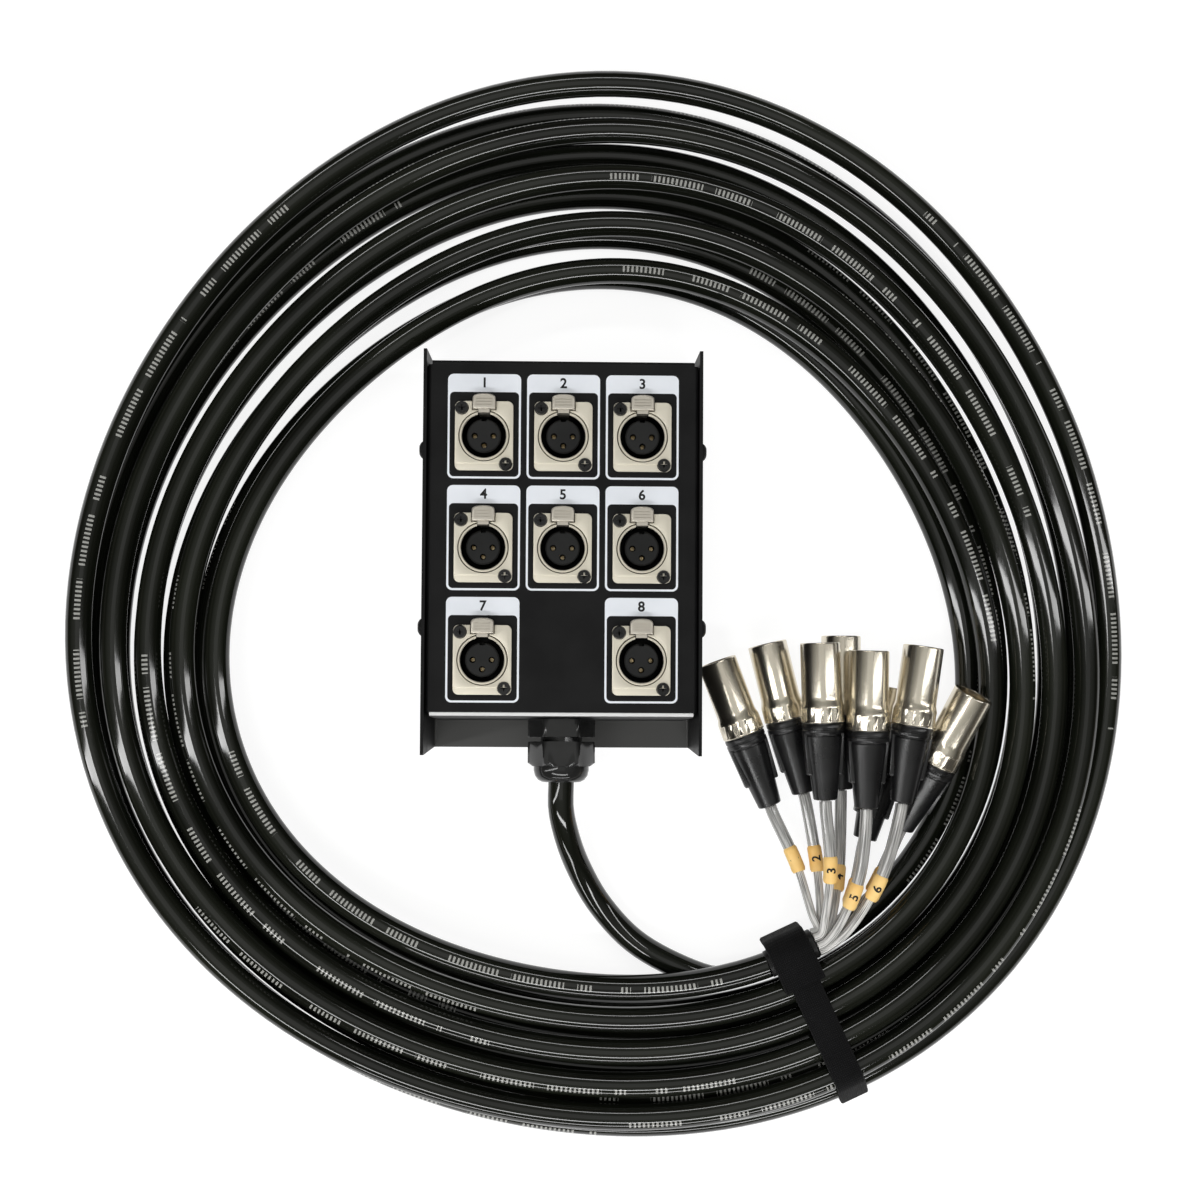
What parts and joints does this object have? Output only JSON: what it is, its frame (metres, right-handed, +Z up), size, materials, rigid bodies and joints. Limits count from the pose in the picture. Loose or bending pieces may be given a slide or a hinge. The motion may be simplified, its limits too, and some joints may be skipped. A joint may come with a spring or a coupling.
{
  "type": "stage box snake",
  "caption": "Steel stage box with rows of latching chassis sockets, a gland, a coiled multicore cable held by a strap, and a fan of line plugs.",
  "frame": {"origin": "on the floor under the middle of the box, which lies on its back", "axes": "+Z up out of the front panel, +Y along the box from its cable gland to its far end, +X to the right of the panel"},
  "size_m": [0.4979, 0.5034, 0.0614],
  "materials": {
    "enclosure_steel": "satin powder coat",
    "socket_metal": "satin nickel",
    "contact_plastic": "moulded",
    "gland_nylon": "moulded nylon",
    "boot_rubber": "moulded",
    "cable_jacket": "smooth jacket",
    "tail_jacket": "smooth jacket",
    "plug_metal": "satin nickel",
    "strap_webbing": "woven"
  },
  "bodies": {
    "snake": {"base_tray": "enclosure_steel", "front_panel": "enclosure_steel", "gland_body": "gland_nylon", "gland_locknut": "gland_nylon", "gland_seal": "boot_rubber", "gland_nut": "gland_nylon", "cable_inner_end": "cable_jacket", "cable_lead": "cable_jacket", "cable_coil": "cable_jacket", "coil_strap": "strap_webbing", "breakout_sleeve": "boot_rubber", "socket_1_housing": "socket_metal", "socket_1_insert": "contact_plastic", "socket_2_housing": "socket_metal", "socket_2_insert": "contact_plastic", "socket_3_housing": "socket_metal", "socket_3_insert": "contact_plastic", "socket_4_housing": "socket_metal", "socket_4_insert": "contact_plastic", "socket_5_housing": "socket_metal", "socket_5_insert": "contact_plastic", "socket_6_housing": "socket_metal", "socket_6_insert": "contact_plastic", "socket_7_housing": "socket_metal", "socket_7_insert": "contact_plastic", "socket_8_housing": "socket_metal", "socket_8_insert": "contact_plastic", "tail_1": "tail_jacket", "plug_1_shell": "plug_metal", "plug_1_boot": "boot_rubber", "tail_2": "tail_jacket", "plug_2_shell": "plug_metal", "plug_2_boot": "boot_rubber", "tail_3": "tail_jacket", "plug_3_shell": "plug_metal", "plug_3_boot": "boot_rubber", "tail_4": "tail_jacket", "plug_4_shell": "plug_metal", "plug_4_boot": "boot_rubber", "tail_5": "tail_jacket", "plug_5_shell": "plug_metal", "plug_5_boot": "boot_rubber", "tail_6": "tail_jacket", "plug_6_shell": "plug_metal", "plug_6_boot": "boot_rubber", "tail_7": "tail_jacket", "plug_7_shell": "plug_metal", "plug_7_boot": "boot_rubber", "tail_8": "tail_jacket", "plug_8_shell": "plug_metal", "plug_8_boot": "boot_rubber"},
    "latch_1": {"socket_1_latch": "socket_metal"},
    "latch_2": {"socket_2_latch": "socket_metal"},
    "latch_3": {"socket_3_latch": "socket_metal"},
    "latch_4": {"socket_4_latch": "socket_metal"},
    "latch_5": {"socket_5_latch": "socket_metal"},
    "latch_6": {"socket_6_latch": "socket_metal"},
    "latch_7": {"socket_7_latch": "socket_metal"},
    "latch_8": {"socket_8_latch": "socket_metal"}
  },
  "joints": [
    {"name": "latch_1_press", "type": "slide", "parent": "snake", "child": "latch_1", "axis": [0, 0, -1], "range_m": [0, 0.0014], "stiffness_N_per_m": 1400, "springref_m": -0.0007},
    {"name": "latch_2_press", "type": "slide", "parent": "snake", "child": "latch_2", "axis": [0, 0, -1], "range_m": [0, 0.0014], "stiffness_N_per_m": 1400, "springref_m": -0.0007},
    {"name": "latch_3_press", "type": "slide", "parent": "snake", "child": "latch_3", "axis": [0, 0, -1], "range_m": [0, 0.0014], "stiffness_N_per_m": 1400, "springref_m": -0.0007},
    {"name": "latch_4_press", "type": "slide", "parent": "snake", "child": "latch_4", "axis": [0, 0, -1], "range_m": [0, 0.0014], "stiffness_N_per_m": 1400, "springref_m": -0.0007},
    {"name": "latch_5_press", "type": "slide", "parent": "snake", "child": "latch_5", "axis": [0, 0, -1], "range_m": [0, 0.0014], "stiffness_N_per_m": 1400, "springref_m": -0.0007},
    {"name": "latch_6_press", "type": "slide", "parent": "snake", "child": "latch_6", "axis": [0, 0, -1], "range_m": [0, 0.0014], "stiffness_N_per_m": 1400, "springref_m": -0.0007},
    {"name": "latch_7_press", "type": "slide", "parent": "snake", "child": "latch_7", "axis": [0, 0, -1], "range_m": [0, 0.0014], "stiffness_N_per_m": 1400, "springref_m": -0.0007},
    {"name": "latch_8_press", "type": "slide", "parent": "snake", "child": "latch_8", "axis": [0, 0, -1], "range_m": [0, 0.0014], "stiffness_N_per_m": 1400, "springref_m": -0.0007}
  ]
}
